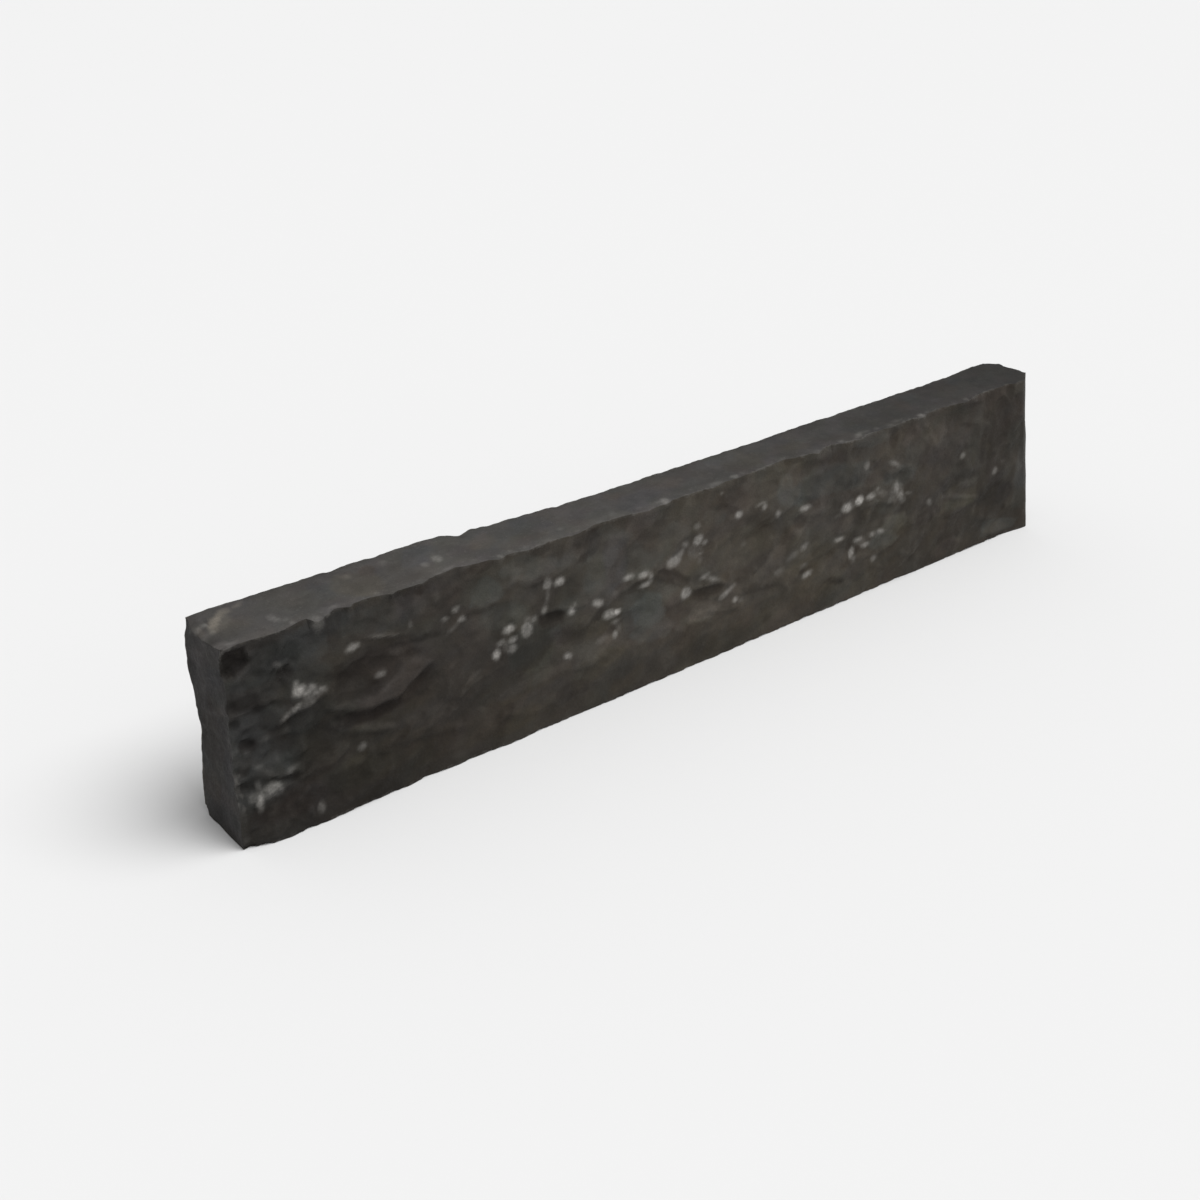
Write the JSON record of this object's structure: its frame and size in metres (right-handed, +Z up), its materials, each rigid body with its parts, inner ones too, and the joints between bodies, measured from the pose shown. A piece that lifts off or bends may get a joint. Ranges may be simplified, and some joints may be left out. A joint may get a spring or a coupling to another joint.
{
  "type": "basalt edging stone",
  "caption": "Long slab of split basalt set on edge, with sawn top and bed, split long faces and hewn ends, for edging paths and beds.",
  "frame": {"origin": "centre of the bounding box's base, on the sawn bed", "axes": "+X along the length, the end nearer the viewer in the picture at -X; the split front face looks towards -Y; +Z up from the sawn bed to the sawn top"},
  "size_m": [1, 0.086, 0.18],
  "materials": {
    "basalt": "split and sawn dark basalt, matt"
  },
  "bodies": {
    "root": {"edging_stone": "basalt"}
  },
  "joints": []
}
